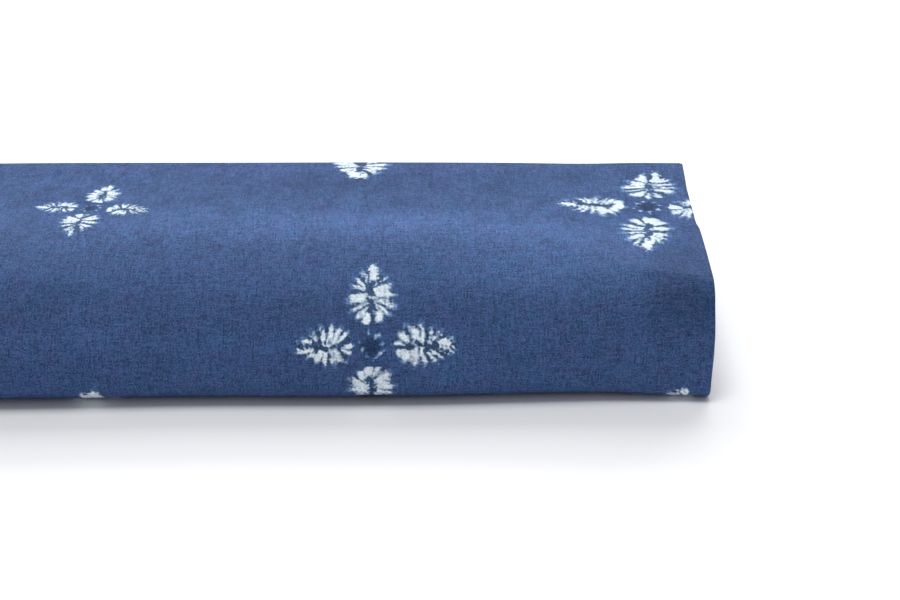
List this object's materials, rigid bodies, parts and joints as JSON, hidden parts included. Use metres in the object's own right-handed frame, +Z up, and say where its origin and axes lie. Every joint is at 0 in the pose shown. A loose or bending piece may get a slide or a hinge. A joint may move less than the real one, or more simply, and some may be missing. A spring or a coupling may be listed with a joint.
{
  "type": "folded printed fabric",
  "caption": "Cut length of indigo cotton with a tie-dye flower print, folded back and forth into a flat block whose outer turn wraps the front.",
  "frame": {"origin": "centre of the fold's underside, on the surface it lies on", "axes": "+X along the folded width of the cloth, -Y out of the smooth front turn, +Z up"},
  "size_m": [0.275, 0.1138, 0.0405],
  "materials": {
    "printed_cotton": "matte plain-weave cotton, indigo with a white tie-dye flower print"
  },
  "bodies": {
    "root": {"folded_cloth": "printed_cotton"}
  },
  "joints": []
}
